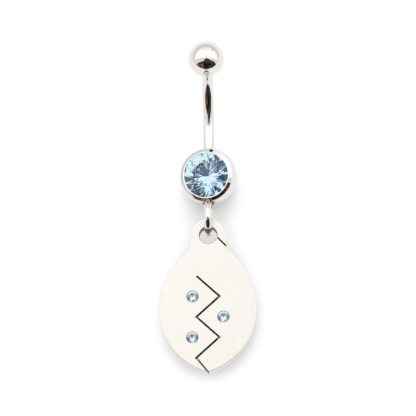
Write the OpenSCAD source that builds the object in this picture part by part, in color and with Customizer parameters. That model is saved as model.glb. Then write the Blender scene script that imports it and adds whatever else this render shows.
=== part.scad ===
// Navel ring: a curved barbell with a stone-set lower ball and a hanging leaf-shaped plate.
// Millimetres, +Z up as worn, -Y towards the viewer who faces the wearer.
// The origin is the middle of the bar's centreline, where the bar passes through the piercing.

/* [Bar] */
// Thickness of the bar
bar_d = 1.6; // [1.4:0.1:2]
// Straight distance between the two balls
bar_length = 11.1; // [8:0.1:14]
// Radius of the bar's bend
bar_bend_r = 10; // [8:0.5:16]
// Forward lean of the bar at its middle, in degrees
bar_lean = 30; // [10:1:40]
// Thickness of the end post that holds the top ball
post_d = 1.2; // [0.8:0.1:1.2]
// Length of the end post
post_length = 2.6; // [1.5:0.1:3]
// Length of the bar set into the stone-set ball
bar_sink = 1; // [0.6:0.1:1.4]

/* [Balls] */
// Diameter of the top ball
top_ball_d = 5; // [4.5:0.1:6]
// Depth to which the bar's end sits in the top ball
top_ball_seat = 0.3; // [0.2:0.05:0.5]
// Diameter of the stone-set ball
gem_ball_d = 8; // [7.6:0.1:9]

/* [Large stone] */
// Diameter of the large stone
stone_d = 6.4; // [5.5:0.05:6.4]
// Pitch of the large stone below the horizontal, in degrees
stone_pitch = 13; // [0:1:20]
// Turn of the large stone out of the bar's plane, in degrees
stone_turn = 8.5; // [0:0.5:10]
// Width of the cup's rim round the stone
rim_w = 0.15; // [0.12:0.01:0.3]
// Overlap of the cup's rim over the stone's edge
rim_lap = 0.1; // [0.05:0.01:0.15]
// Thickness of the cup's rim over the stone's edge
rim_t = 0.1; // [0.08:0.01:0.2]
// Width of the sloping lip outside the cup's rim
lip_w = 0.42; // [0.3:0.02:0.46]
// Slope of the lip, in degrees
lip_slope = 35; // [30:1:40]

/* [Stone cut] */
// Width of the table as a share of the stone
table_share = 0.55; // [0.5:0.01:0.65]
// Slope of the crown's main facets, in degrees
crown_slope = 35; // [30:1:37]
// Slope of the pavilion's main facets, in degrees
pavilion_slope = 41; // [38:1:43]
// Thickness of the girdle as a share of the stone
girdle_share = 0.025; // [0.022:0.001:0.035]
// Reach of the star facets from the table towards the girdle, as a share
star_share = 0.5; // [0.4:0.05:0.6]
// Reach of the lower facets from the girdle towards the point, as a share
lower_share = 0.77; // [0.7:0.01:0.85]

/* [Ring] */
// Outer diameter of the soldered ring
ring_d = 5.3; // [4.8:0.1:6.4]
// Thickness of the ring's wire
ring_wire_d = 1; // [0.8:0.05:1.1]
// Spread of the solder beyond the wire, where ring and ball meet
solder_w = 0.35; // [0.2:0.05:0.5]
// Thickness of the solder over the ring's wire
solder_t = 0.12; // [0.08:0.01:0.2]

/* [Pendant] */
// Thickness of the plate
plate_t = 1.2; // [1:0.1:1.6]
// Width of the plate's edge bevel
plate_bevel = 0.06; // [0.05:0.01:0.15]
// Diameter of the hanging hole
hole_d = 2.5; // [2.44:0.02:3.2]
// Width of the tab round the hole
tab_w = 4.96; // [4.8:0.02:6]
// Width of the leaf
leaf_w = 13.5; // [12:0.1:16]
// Distance from the hole's centre down to the leaf's widest place
leaf_widest = 11; // [10:0.1:12]
// Radius of the leaf's upper sides
leaf_upper_r = 11.8; // [11:0.1:13]
// Radius of the leaf's lower sides
leaf_lower_r = 9.5; // [9:0.1:12]
// Width of the slit beside the hole
slit_w = 0.24; // [0.15:0.01:0.3]
// Where the slit leaves the hole, in degrees below the hole's level
slit_turn = 4; // [0:1:20]
// Height of the slit's mouth above the leaf's shoulder
slit_rise = 0.3; // [0.25:0.05:0.5]

/* [Zigzag cut] */
// Width of the cut
cut_w = 0.3; // [0.15:0.01:0.32]
// Distance from the hole's centre down to the top of the cut
cut_start = 6.05; // [5:0.05:7]
// Distance of the cut's bends from the leaf's middle
cut_reach = 1.6; // [1:0.05:2]
// Drop from each bend to the next
cut_drop = 3; // [2.6:0.02:3.2]
// Number of bends before the cut runs to the tip
cut_bends = 4; // [2:1:4]

/* [Small stones] */
// Diameter of the small stones
small_d = 1.65; // [1:0.05:1.8]
// Distance of the small stones from the leaf's middle
small_reach = 2.15; // [1.8:0.05:3.5]
// Depth of the small stones' edge below the plate's face
small_sink = 0.08; // [0.05:0.01:0.15]

/* [Fits] */
// Clearance round the end post and the bar's end in the top ball
post_fit = 0.04; // [0.02:0.01:0.08]
// Clearance between a stone and its seat
stone_fit = 0.03; // [0.02:0.01:0.06]
// Clearance between the plate's hole and the ring it hangs on
hang_fit = 0.05; // [0.03:0.01:0.1]

/* [Hidden] */
$fn = 96;
// Overshoot of a cut past the face that it opens, and of a joined piece into its neighbour
past = 0.5;

steel = "#d8d9dc";
satin_steel = "#f2efe8";
pale_blue = "#a9d3ee";

// Places in the side plane are written [y, z], and a heading there turns from +Y towards +Z.
function toward(heading) = [cos(heading), sin(heading)];
function in_space(place) = [0, place.x, place.y];

// The bar: an arc bent round a centre in front of it, run on a little into each ball
half_bend = asin(bar_length / (2 * bar_bend_r));
sink_bend = asin(bar_sink / bar_bend_r);
seat_bend = asin((top_ball_seat - post_fit) / (bar_bend_r + bar_d / 2));
bend_centre = -bar_bend_r * toward(bar_lean);
low_heading = bar_lean - half_bend - 90;
top_heading = bar_lean + half_bend + 90;
low_end = bend_centre + bar_bend_r * toward(bar_lean - half_bend);
top_end = bend_centre + bar_bend_r * toward(bar_lean + half_bend);

// The balls, each touching its end of the bar
gem_ball_r = gem_ball_d / 2;
top_ball_r = top_ball_d / 2;
gem_ball_at = low_end + gem_ball_r * toward(low_heading);
top_ball_at = top_end + top_ball_r * toward(top_heading);

// Sectors of a stone, each with one main facet of the crown, one of the pavilion and four points
// of the girdle
sectors = 8;
sector = 360 / sectors;
sector_points = 4;
girdle_points = sector_points * sectors;

// The cup, measured from the ball's centre along the stone's axis
cup_mouth_r = stone_d / 2 - rim_lap;
rim_r = cup_mouth_r + rim_w;
lip_r = rim_r + lip_w;
rim_level = sqrt(pow(gem_ball_r, 2) - pow(lip_r, 2)) + lip_w * tan(lip_slope);
stone_level = rim_level - rim_t - stone_fit
    - rim_lap * ridge_slope(stone_d, star_r(stone_d), crown_slope);

// The ring, its wire's centreline touching the ball from below
ring_wire_r = ring_wire_d / 2;
ring_mid_r = ring_d / 2 - ring_wire_r;
ring_bore_r = ring_mid_r - ring_wire_r;
ring_at = gem_ball_at - [0, gem_ball_r + ring_mid_r];

// The plate, its hole hanging on the ring's lowest stretch
hole_r = hole_d / 2;
tab_r = tab_w / 2;
hole_level = ring_at.y - sqrt(pow(ring_bore_r, 2) - pow(plate_t / 2, 2)) + hang_fit - hole_r;

// Places on the plate are written [x, z] from the hole's centre.
upper_offset = leaf_upper_r - leaf_w / 2;
lower_offset = leaf_lower_r - leaf_w / 2;
shoulder = [tab_r, sqrt(pow(leaf_upper_r, 2) - pow(tab_r + upper_offset, 2)) - leaf_widest];
leaf_tip = [0, -leaf_widest - sqrt(pow(leaf_lower_r, 2) - pow(lower_offset, 2))];
// The small stones lie inside the cut's bends from the second bend down.
small_stones = 3;
function bend_side(i) = i % 2 == 0 ? -1 : 1;
function cut_bend(i) = [bend_side(i) * cut_reach, -cut_start - i * cut_drop];
function small_at(i) = [-bend_side(i) * small_reach, cut_bend(i).y];

// The outline of a strip of width w along a bent line, mitred at its bends
function unit(v) = v / norm(v);
function left_of(v) = [-v.y, v.x];
function step_into(path, i) = unit(i > 0 ? path[i] - path[i - 1] : path[1] - path[0]);
function step_out(path, i) = i < len(path) - 1 ? unit(path[i + 1] - path[i]) : step_into(path, i);
function mitre(path, i) =
    let (side = unit(left_of(step_into(path, i)) + left_of(step_out(path, i))))
    side / (side * left_of(step_into(path, i)));
function strip(path, w) = [
    for (i = [0 : len(path) - 1]) path[i] + mitre(path, i) * w / 2,
    for (i = [len(path) - 1 : -1 : 0]) path[i] - mitre(path, i) * w / 2
];

// A round brilliant cut, the upper edge of its girdle at height 0
function polar(r, turn, z) = [r * cos(turn), r * sin(turn), z];
function table_r(d) = table_share * d / 2;
function crown_h(d) = (d / 2 - table_r(d)) * tan(crown_slope);
function girdle_h(d) = girdle_share * d;
function pavilion_h(d) = d / 2 * tan(pavilion_slope);
// Height over (x, y) of the plane through three points
function plane_over(a, b, c, p) =
    let (n = cross(b - a, c - a))
    a.z - (n.x * (p.x - a.x) + n.y * (p.y - a.y)) / n.z;
// A point where two mains meet the facets between them, for a main of the given slope
function meet_point(d, r, slope, turn) =
    polar(r, turn, (d / 2 - r * cos(sector / 2)) * tan(slope));
function star_r(d) =
    let (edge = table_r(d) * cos(sector / 2)) edge + star_share * (d / 2 - edge);
function lower_r(d) = d / 2 * (1 - lower_share);
// Slope, as a ratio, of the ridges between the facets next to the girdle
function ridge_slope(d, r, slope) = meet_point(d, r, slope, 0).z / (d / 2 - r);
// Girdle point i, where the facets of one side cut the stone's round wall
function girdle_turn(i) = i * 360 / girdle_points;
function girdle_point(d, r, slope, i) =
    let (flat = polar(d / 2, girdle_turn(i), 0))
    i % 2 == 0 ? flat : [flat.x, flat.y, plane_over(
        meet_point(d, r, slope, (floor(i / sector_points) + 0.5) * sector),
        polar(d / 2, girdle_turn(i - 1), 0),
        polar(d / 2, girdle_turn(i + 1), 0),
        flat
    )];
function turned_down(p, z) = [p.x, p.y, z - p.z];

module brilliant(d) {
    table = [for (k = [0 : sectors - 1]) polar(table_r(d), k * sector, crown_h(d))];
    upper = [
        for (k = [0 : sectors - 1]) meet_point(d, star_r(d), crown_slope, (k + 0.5) * sector)
    ];
    crown_edge = [
        for (i = [0 : girdle_points - 1]) girdle_point(d, star_r(d), crown_slope, i)
    ];
    base_edge = [
        for (i = [0 : girdle_points - 1])
            turned_down(girdle_point(d, lower_r(d), pavilion_slope, i), -girdle_h(d))
    ];
    lower = [
        for (k = [0 : sectors - 1])
            turned_down(meet_point(d, lower_r(d), pavilion_slope, (k + 0.5) * sector), -girdle_h(d))
    ];
    point = [0, 0, -girdle_h(d) - pavilion_h(d)];
    // Places of the first upper, crown edge, base edge and lower point in the list of points
    u = sectors;
    c = 2 * sectors;
    b = c + girdle_points;
    l = b + girdle_points;
    tip = l + sectors;
    function next(k) = (k + 1) % sectors;
    function on_crown(k, j) = c + (k * sector_points + j) % girdle_points;
    function on_base(k, j) = b + (k * sector_points + j) % girdle_points;
    polyhedron(
        points = concat(table, upper, crown_edge, base_edge, lower, [point]),
        faces = [
            [for (k = [sectors - 1 : -1 : 0]) k],
            for (k = [0 : sectors - 1]) each [
                [k, next(k), u + k],
                [next(k), u + next(k), on_crown(k + 1, 0), u + k],
                [u + k, on_crown(k, 2), on_crown(k, 1), on_crown(k, 0)],
                [u + k, on_crown(k + 1, 0), on_crown(k, 3), on_crown(k, 2)],
                [l + k, on_base(k, 0), on_base(k, 1), on_base(k, 2)],
                [l + k, on_base(k, 2), on_base(k, 3), on_base(k + 1, 0)],
                [tip, l + k, on_base(k + 1, 0), l + next(k)]
            ],
            for (i = [0 : girdle_points - 1])
                [on_crown(0, i), on_crown(0, i + 1), on_base(0, i + 1), on_base(0, i)]
        ]
    );
}

// The room that a stone needs, with its side up to a height and open above within a radius
module stone_seat(d, side_top, mouth_r, out) {
    seat_r = d / 2 + stone_fit;
    seat_h = seat_r * ridge_slope(d, lower_r(d), pavilion_slope);
    rotate_extrude() polygon([
        [0, -girdle_h(d) - seat_h], [seat_r, -girdle_h(d)],
        [seat_r, side_top], [mouth_r, side_top], [mouth_r, out], [0, out]
    ]);
}

// Stands its children's z axis along a heading, from a place in the side plane
module along_heading(at, heading)
    translate(in_space(at)) rotate([heading - 90, 0, 0]) children();

// Stands its children's z axis along the large stone's axis, from the ball's centre
module in_gem_ball()
    translate(in_space(gem_ball_at)) rotate([90 + stone_pitch, 0, -stone_turn]) children();

module bar() {
    translate(in_space(bend_centre)) rotate([90, 0, 90]) rotate(bar_lean - half_bend - sink_bend)
        rotate_extrude(angle = sink_bend + 2 * half_bend + seat_bend)
            translate([bar_bend_r, 0]) circle(d = bar_d);
    along_heading(top_end, top_heading)
        translate([0, 0, -past]) cylinder(h = past + top_ball_seat + post_length, d = post_d);
}

// The ball, cut down to the lip's slope and the flat rim
module gem_ball() in_gem_ball() difference() {
    sphere(d = gem_ball_d);
    rotate_extrude() polygon([
        [0, rim_level], [rim_r, rim_level],
        [gem_ball_r, rim_level - (gem_ball_r - rim_r) * tan(lip_slope)],
        [gem_ball_r, gem_ball_r + past], [0, gem_ball_r + past]
    ]);
}

module cup() in_gem_ball() translate([0, 0, stone_level])
    stone_seat(stone_d, rim_level - rim_t - stone_level, cup_mouth_r, gem_ball_r);

module ring() {
    translate(in_space(ring_at)) rotate([0, 90, 0])
        rotate_extrude() translate([ring_mid_r, 0]) circle(d = ring_wire_d);
}

// A flared fillet under the ball, over a bead that wraps the ring's top
module solder() {
    translate(in_space(gem_ball_at - [0, gem_ball_r])) {
        rotate_extrude() difference() {
            translate([0, -solder_w]) square([ring_wire_r + solder_w, solder_w + ring_wire_r]);
            translate([ring_wire_r + solder_w, -solder_w]) circle(r = solder_w);
        }
        sphere(r = ring_wire_r + solder_t);
    }
}

module curved_barbell() color(steel) difference() {
    union() {
        bar();
        gem_ball();
        ring();
        solder();
    }
    cup();
}

module top_ball() color(steel) difference() {
    translate(in_space(top_ball_at)) sphere(d = top_ball_d);
    along_heading(top_end, top_heading) {
        translate([0, 0, -past])
            cylinder(h = past + top_ball_seat, d = bar_d + 2 * post_fit);
        translate([0, 0, -past])
            cylinder(h = past + top_ball_seat + post_length + post_fit, d = post_d + 2 * post_fit);
    }
}

module ball_stone() color(pale_blue)
    in_gem_ball() translate([0, 0, stone_level]) rotate(sector / 2) brilliant(stone_d);

// Stands the plate's own plane upright under the ring, its front towards -Y
module on_plate() translate([0, ring_at.x, hole_level]) rotate([90, 0, 0]) children();

// The plate's bevelled edge at a half-width w, from its back face round to its front face
function plate_edge(w) = [
    [w - plate_bevel, -plate_t / 2], [w, plate_bevel - plate_t / 2],
    [w, plate_t / 2 - plate_bevel], [w - plate_bevel, plate_t / 2]
];

module disc(r)
    rotate_extrude() polygon(concat([[0, -plate_t / 2]], plate_edge(r), [[0, plate_t / 2]]));

module tab() {
    disc(tab_r);
    rotate([90, 0, 0]) linear_extrude(leaf_widest / 2)
        polygon(concat(plate_edge(tab_r), [for (p = plate_edge(tab_r)) -p]));
}

// Where two equal discs overlap, as wide as the leaf
module lens(r) translate([0, -leaf_widest]) intersection() {
    translate([leaf_w / 2 - r, 0]) disc(r);
    translate([r - leaf_w / 2, 0]) disc(r);
}

// A lens of the smaller radius, and half a lens of the larger one on its side of the widest place
module leaf() {
    wide_r = max(leaf_upper_r, leaf_lower_r);
    lens(min(leaf_upper_r, leaf_lower_r));
    intersection() {
        lens(wide_r);
        translate([-leaf_w, -leaf_widest - (leaf_upper_r > leaf_lower_r ? 0 : wide_r), -plate_t])
            cube([2 * leaf_w, wide_r, 2 * plate_t]);
    }
}

module hanging_hole() rotate_extrude() polygon([
    [0, -plate_t / 2 - past], [hole_r + plate_bevel + past, -plate_t / 2 - past],
    [hole_r, plate_bevel - plate_t / 2], [hole_r, plate_t / 2 - plate_bevel],
    [hole_r + plate_bevel + past, plate_t / 2 + past], [0, plate_t / 2 + past]
]);

module through_cut(path, w) translate([0, 0, -plate_t])
    linear_extrude(2 * plate_t) polygon(strip(path, w));

module slit() {
    inner_end = (hole_r - slit_w) * toward(-slit_turn);
    mouth = shoulder + [0, slit_rise];
    through_cut([inner_end, mouth + slit_w * unit(mouth - inner_end)], slit_w);
}

module zigzag() {
    bends = [for (i = [0 : cut_bends]) cut_bend(i)];
    run_out = leaf_tip + past * unit(leaf_tip - bends[cut_bends]);
    through_cut(concat(bends, [run_out]), cut_w);
}

// Places its children at small stone i, the stone's edge just below the plate's front face
module at_small_stone(i) translate([small_at(i).x, small_at(i).y, plate_t / 2 - small_sink])
    children();

module leaf_pendant() color(satin_steel) on_plate() difference() {
    union() {
        tab();
        leaf();
    }
    hanging_hole();
    slit();
    zigzag();
    for (i = [1 : small_stones]) at_small_stone(i)
        stone_seat(small_d, small_sink, small_d / 2 + stone_fit, small_sink + past);
}

module leaf_stone(i) color(pale_blue) on_plate() at_small_stone(i) brilliant(small_d);

curved_barbell();
top_ball();
ball_stone();
leaf_pendant();
leaf_stone(1);  // leaf_stone_1
leaf_stone(2);  // leaf_stone_2
leaf_stone(3);  // leaf_stone_3
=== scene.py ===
"""A navel ring in a plain white studio: a curved bar, its stone-set ball and a swinging leaf plate.

Lengths are metres in the part's own frame, +Z up as worn and -Y towards the viewer. Every mesh
is built in place, so its object stays at the origin.
"""

import logging
import math
from dataclasses import dataclass, field
from enum import Enum
from typing import Callable, Iterable, Sequence

import bpy
import numpy as np
from mathutils import Matrix, Vector


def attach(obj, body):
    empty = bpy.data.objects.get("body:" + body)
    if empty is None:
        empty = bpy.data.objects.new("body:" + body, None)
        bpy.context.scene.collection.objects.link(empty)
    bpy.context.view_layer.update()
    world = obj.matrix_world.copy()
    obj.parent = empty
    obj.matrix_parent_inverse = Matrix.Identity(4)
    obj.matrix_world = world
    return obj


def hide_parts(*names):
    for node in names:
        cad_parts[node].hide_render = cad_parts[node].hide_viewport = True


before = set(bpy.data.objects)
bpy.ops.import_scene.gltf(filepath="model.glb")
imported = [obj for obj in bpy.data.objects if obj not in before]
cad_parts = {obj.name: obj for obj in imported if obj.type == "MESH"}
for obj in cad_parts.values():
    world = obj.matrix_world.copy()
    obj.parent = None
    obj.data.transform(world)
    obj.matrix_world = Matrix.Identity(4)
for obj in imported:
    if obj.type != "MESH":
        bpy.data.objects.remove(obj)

log = logging.getLogger("navel_ring")

MM = 0.001
FULL_TURN = 2 * math.pi

Colour = tuple[float, float, float]
Profile = list[tuple[float, float]]


class Body(Enum):
    """The rigid bodies that pieces ride on."""

    BARBELL = "barbell"
    TOP_BALL = "top_ball"
    PENDANT = "pendant"


class Slot(Enum):
    """The material slots of the part's record."""

    POLISHED = "polished_steel"
    SATIN = "satin_steel"
    STONE = "blue_stone"


class ShownIn(Enum):
    """What a card round the part is seen in."""

    METAL = "glossy"
    STONES = "transmission"


class Corner(Enum):
    """How a mesh's edges are shaded."""

    FACETED = 0.0
    ROUNDED = math.radians(30)


class NodeBench:
    """Lays out and joins the shader nodes of one material or world."""

    def __init__(self, tree: bpy.types.NodeTree) -> None:
        """Empties the tree.

        Args:
            tree: The node tree to build in.
        """
        self.tree = tree
        self.tree.nodes.clear()
        self.column = 0

    def node(self, kind: str, **settings: object) -> bpy.types.Node:
        """Adds one node.

        Args:
            kind: The node's type name without its ShaderNode part.
            settings: Properties of the node, and values of its sockets by name with _ for spaces.

        Returns:
            The new node.
        """
        made = self.tree.nodes.new("ShaderNode" + kind)
        self.column += 1
        made.location = (180 * self.column, -90 * (self.column % 4))
        for name, value in settings.items():
            socket = made.inputs.get(name.replace("_", " "))
            if socket is None:
                setattr(made, name, value)
            else:
                socket.default_value = value
        return made

    def join(self, out: bpy.types.NodeSocket, into: bpy.types.NodeSocket) -> None:
        """Links an output socket to an input socket."""
        self.tree.links.new(out, into)

    def noise(self, scale: float, detail: float, stretch: Sequence[float] = (1, 1, 1),
              roughness: float = 0.5) -> bpy.types.NodeSocket:
        """Adds a noise texture in the piece's own space.

        Args:
            scale: Cells in each metre.
            detail: Number of finer layers.
            stretch: Scale along each axis on top of the cells in each metre.
            roughness: Strength of the finer layers.

        Returns:
            The texture's value socket.
        """
        place = self.node("TexCoord")
        turned = self.node("Mapping")
        turned.inputs["Scale"].default_value = stretch
        cells = self.node("TexNoise", Scale=scale, Detail=detail, Roughness=roughness)
        self.join(place.outputs["Object"], turned.inputs["Vector"])
        self.join(turned.outputs["Vector"], cells.inputs["Vector"])
        return cells.outputs["Fac"]

    def ramp(self, value: bpy.types.NodeSocket,
             stops: Sequence[tuple[float, Colour]]) -> bpy.types.NodeSocket:
        """Turns a value into a colour.

        Args:
            value: The socket to read.
            stops: Places from 0 to 1 with their colours.

        Returns:
            The ramp's colour socket.
        """
        ramp = self.node("ValToRGB")
        elements = ramp.color_ramp.elements
        while len(elements) < len(stops):
            elements.new(0.5)
        for element, (place, colour) in zip(elements, stops):
            element.position = place
            element.color = (*colour, 1)
        self.join(value, ramp.inputs["Fac"])
        return ramp.outputs["Color"]

    def spread(self, value: bpy.types.NodeSocket, low: float,
               high: float) -> bpy.types.NodeSocket:
        """Maps a noise value's usual reach onto a range.

        Args:
            value: The socket to read.
            low: What the low end becomes.
            high: What the high end becomes.

        Returns:
            The mapped value's socket.
        """
        mapped = self.node("MapRange")
        mapped.inputs["From Min"].default_value = 0.3
        mapped.inputs["From Max"].default_value = 0.7
        mapped.inputs["To Min"].default_value = low
        mapped.inputs["To Max"].default_value = high
        self.join(value, mapped.inputs["Value"])
        return mapped.outputs["Result"]

    def bump(self, height: bpy.types.NodeSocket, depth: float,
             strength: float) -> bpy.types.NodeSocket:
        """Makes a normal from a height.

        Args:
            height: The socket to read as a height from 0 to 1.
            depth: The height's real reach.
            strength: Share of the full effect.

        Returns:
            The normal's socket.
        """
        made = self.node("Bump", Strength=strength, Distance=depth)
        self.join(height, made.inputs["Height"])
        return made.outputs["Normal"]

    def finish(self, shader: bpy.types.NodeSocket, kind: str = "OutputMaterial") -> None:
        """Joins the last shader to the tree's output.

        Args:
            shader: The shader's socket.
            kind: The output node's type name without its ShaderNode part.
        """
        self.join(shader, self.node(kind).inputs["Surface"])


@dataclass(frozen=True)
class Finish:
    """A surface that pieces are dressed in."""

    name: str

    def material(self) -> bpy.types.Material:
        """Gives the material, made on its first use.

        Returns:
            The material of this finish's name.
        """
        made = bpy.data.materials.get(self.name)
        if made is None:
            made = bpy.data.materials.new(self.name)
            made.use_nodes = True
            self.lay(NodeBench(made.node_tree))
        return made

    def lay(self, bench: NodeBench) -> None:
        """Builds the shader.

        Args:
            bench: The material's nodes.
        """
        raise NotImplementedError


@dataclass(frozen=True)
class PolishedSteel(Finish):
    """Mirror-polished surgical steel with a faint haze and hairline buffing marks."""

    light: Colour = (0.795, 0.785, 0.77)
    dark: Colour = (0.77, 0.76, 0.745)
    haze_low: float = 0.025
    haze_high: float = 0.06
    mark_depth: float = 0.000002

    def lay(self, bench: NodeBench) -> None:
        """Builds the shader, see Finish."""
        clouds = bench.noise(scale=420, detail=4)
        marks = bench.noise(scale=2600, detail=3, stretch=(1, 1, 0.12))
        colour = bench.ramp(clouds, [(0.35, self.dark), (0.65, self.light)])
        steel = bench.node("BsdfPrincipled", Metallic=1.0)
        bench.join(colour, steel.inputs["Base Color"])
        bench.join(bench.spread(clouds, self.haze_low, self.haze_high), steel.inputs["Roughness"])
        bench.join(bench.bump(marks, self.mark_depth, 0.05), steel.inputs["Normal"])
        bench.finish(steel.outputs["BSDF"])


@dataclass(frozen=True)
class SatinSteel(Finish):
    """Fine satin steel: an even warm grey with a soft vertical grain."""

    light: Colour = (0.730, 0.705, 0.668)
    dark: Colour = (0.718, 0.693, 0.655)
    rough_low: float = 0.3
    rough_high: float = 0.38
    grain_depth: float = 0.000004

    def lay(self, bench: NodeBench) -> None:
        """Builds the shader, see Finish."""
        clouds = bench.noise(scale=260, detail=3)
        grain = bench.noise(scale=9000, detail=2, stretch=(1, 1, 0.04), roughness=0.6)
        colour = bench.ramp(clouds, [(0.3, self.dark), (0.7, self.light)])
        steel = bench.node("BsdfPrincipled", Metallic=1.0)
        bench.join(colour, steel.inputs["Base Color"])
        bench.join(bench.spread(grain, self.rough_low, self.rough_high),
                   steel.inputs["Roughness"])
        bench.join(bench.bump(grain, self.grain_depth, 0.12), steel.inputs["Normal"])
        bench.finish(steel.outputs["BSDF"])


@dataclass(frozen=True)
class SolderedSteel(Finish):
    """Lumpy solder with painted light: its lumps painted bright as a highlight and the hollows between
    them painted near black as shade.
    """

    lump_scale: float = 2300
    lump_depth: float = 0.00006
    # Colour follows the lumps' height: painted shade in the hollows, painted highlight on the lumps.
    shades: tuple[tuple[float, Colour], ...] = (
        (0.46, (0.035, 0.026, 0.02)),
        (0.56, (0.20, 0.165, 0.14)),
        (0.66, (0.66, 0.62, 0.57)),
    )

    def lay(self, bench: NodeBench) -> None:
        """Builds the shader, see Finish."""
        lumps = bench.noise(scale=self.lump_scale, detail=3)
        steel = bench.node("BsdfPrincipled", Metallic=1.0)
        bench.join(bench.ramp(lumps, self.shades), steel.inputs["Base Color"])
        bench.join(bench.spread(lumps, 0.3, 0.1), steel.inputs["Roughness"])
        bench.join(bench.bump(lumps, self.lump_depth, 0.7), steel.inputs["Normal"])
        bench.finish(steel.outputs["BSDF"])


@dataclass(frozen=True)
class ShadedCutWall(Finish):
    """The wall of a cut or a stone's seat in the plate, painted dark brown as the shade inside it."""

    light: Colour = (0.17, 0.095, 0.062)
    dark: Colour = (0.10, 0.056, 0.037)

    def lay(self, bench: NodeBench) -> None:
        """Builds the shader, see Finish."""
        cut_mottle = bench.noise(scale=3000, detail=3)
        wall = bench.node("BsdfPrincipled", Roughness=0.8)
        wall.inputs["Specular IOR Level"].default_value = 0.1
        bench.join(bench.ramp(cut_mottle, [(0.35, self.dark), (0.65, self.light)]),
                   wall.inputs["Base Color"])
        bench.finish(wall.outputs["BSDF"])


@dataclass(frozen=True)
class CrystalGlass(Finish):
    """Clear pale blue crystal with faint clouds in its tint."""

    tint: Colour = (0.85, 0.93, 0.97)
    ior: float = 1.56

    def lay(self, bench: NodeBench) -> None:
        """Builds the shader, see Finish."""
        glass = bench.node("BsdfPrincipled", Roughness=0.0, IOR=self.ior)
        glass.inputs["Transmission Weight"].default_value = 1.0
        clouds = bench.noise(scale=700, detail=2)
        deep = tuple(0.97 * share for share in self.tint)
        bench.join(bench.ramp(clouds, [(0.3, deep), (0.7, self.tint)]), glass.inputs["Base Color"])
        bench.finish(glass.outputs["BSDF"])


@dataclass(frozen=True)
class StoneFoil(Finish):
    """The mirror coat on the back of a stone, tinted as the glass in front of it."""

    tint: Colour = (0.79, 0.87, 0.91)
    blur: float = 0.02

    def lay(self, bench: NodeBench) -> None:
        """Builds the shader, see Finish."""
        foil = bench.node("BsdfPrincipled", Metallic=1.0, Roughness=self.blur)
        clouds = bench.noise(scale=900, detail=2)
        deep = tuple(0.94 * share for share in self.tint)
        bench.join(bench.ramp(clouds, [(0.3, deep), (0.7, self.tint)]), foil.inputs["Base Color"])
        bench.finish(foil.outputs["BSDF"])


@dataclass(frozen=True)
class StudioPaper(Finish):
    """Glowing white paper with a faint tooth, its glow painted darker close to the part as a contact
    shadow, clear from behind.
    """

    shade: float = 0.10
    glow: float = 0.94
    shadow_reach: float = 12 * MM
    shadows: tuple[tuple[float, Colour], ...] = (
        (0.08, (0.12, 0.085, 0.065)),
        (0.34, (0.40, 0.39, 0.375)),
        (0.55, (0.68, 0.68, 0.685)),
        (0.66, (0.95, 0.95, 0.955)),
        (0.76, (1, 1, 1)),
    )

    def lay(self, bench: NodeBench) -> None:
        """Builds the shader, see Finish."""
        tooth = bench.noise(scale=900, detail=2)
        shades = [(0.3, (self.shade * 0.985,) * 3), (0.7, (self.shade,) * 3)]
        paper = bench.node("BsdfDiffuse")
        bench.join(bench.ramp(tooth, shades), paper.inputs["Color"])
        # Ambient occlusion dims the glow near the part: a painted contact shadow, darkest brown where
        # the part covers the paper.
        near = bench.node("AmbientOcclusion", Distance=self.shadow_reach)
        glow_with_painted_shadow = bench.node("Emission", Strength=self.glow)
        bench.join(bench.ramp(near.outputs["AO"], self.shadows), glow_with_painted_shadow.inputs["Color"])
        both = bench.node("AddShader")
        bench.join(paper.outputs["BSDF"], both.inputs[0])
        bench.join(glow_with_painted_shadow.outputs["Emission"], both.inputs[1])
        clear = bench.node("BsdfTransparent")
        either = bench.node("MixShader")
        bench.join(bench.node("NewGeometry").outputs["Backfacing"], either.inputs["Fac"])
        bench.join(both.outputs["Shader"], either.inputs[1])
        bench.join(clear.outputs["BSDF"], either.inputs[2])
        bench.finish(either.outputs["Shader"])


@dataclass(frozen=True)
class DimRoom(Finish):
    """The unlit room past the studio's opening, as polished metal mirrors it."""

    stops: tuple[tuple[float, Colour], ...] = (
        (0.30, (0.004, 0.003, 0.003)),
        (0.50, (0.020, 0.013, 0.010)),
        (0.60, (0.075, 0.045, 0.032)),
        (0.72, (0.16, 0.10, 0.07)),
    )
    strength: float = 1.0

    def lay(self, bench: NodeBench) -> None:
        """Builds the shader, see Finish."""
        things = bench.noise(scale=14, detail=5, roughness=0.62)
        glow = bench.node("Emission", Strength=self.strength)
        bench.join(bench.ramp(things, self.stops), glow.inputs["Color"])
        bench.finish(glow.outputs["Emission"])


DARK_ROOM = DimRoom("dark_room")
WARM_ROOM = DimRoom("warm_room", stops=((0.35, (0.02, 0.012, 0.01)), (0.5, (0.20, 0.12, 0.09)),
                                        (0.65, (0.36, 0.23, 0.18))))
GOLDEN_ROOM = DimRoom("golden_room", stops=((0.38, (0.008, 0.006, 0.003)),
                                            (0.52, (0.06, 0.045, 0.02)),
                                            (0.64, (0.22, 0.16, 0.06))))
YELLOW_LAMP = DimRoom("yellow_lamp", stops=((0.3, (1.9, 1.6, 0.75)), (0.7, (2.2, 1.9, 0.95))))
VIOLET_LAMP = DimRoom("violet_lamp", stops=((0.3, (0.12, 0.09, 0.55)), (0.7, (0.2, 0.16, 0.75))))
GOLD_LAMP = DimRoom("gold_lamp", stops=((0.3, (0.62, 0.42, 0.2)), (0.7, (0.85, 0.62, 0.35))))
RED_LAMP = DimRoom("red_lamp", stops=((0.3, (0.72, 0.06, 0.08)), (0.7, (0.92, 0.14, 0.15))))
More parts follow.
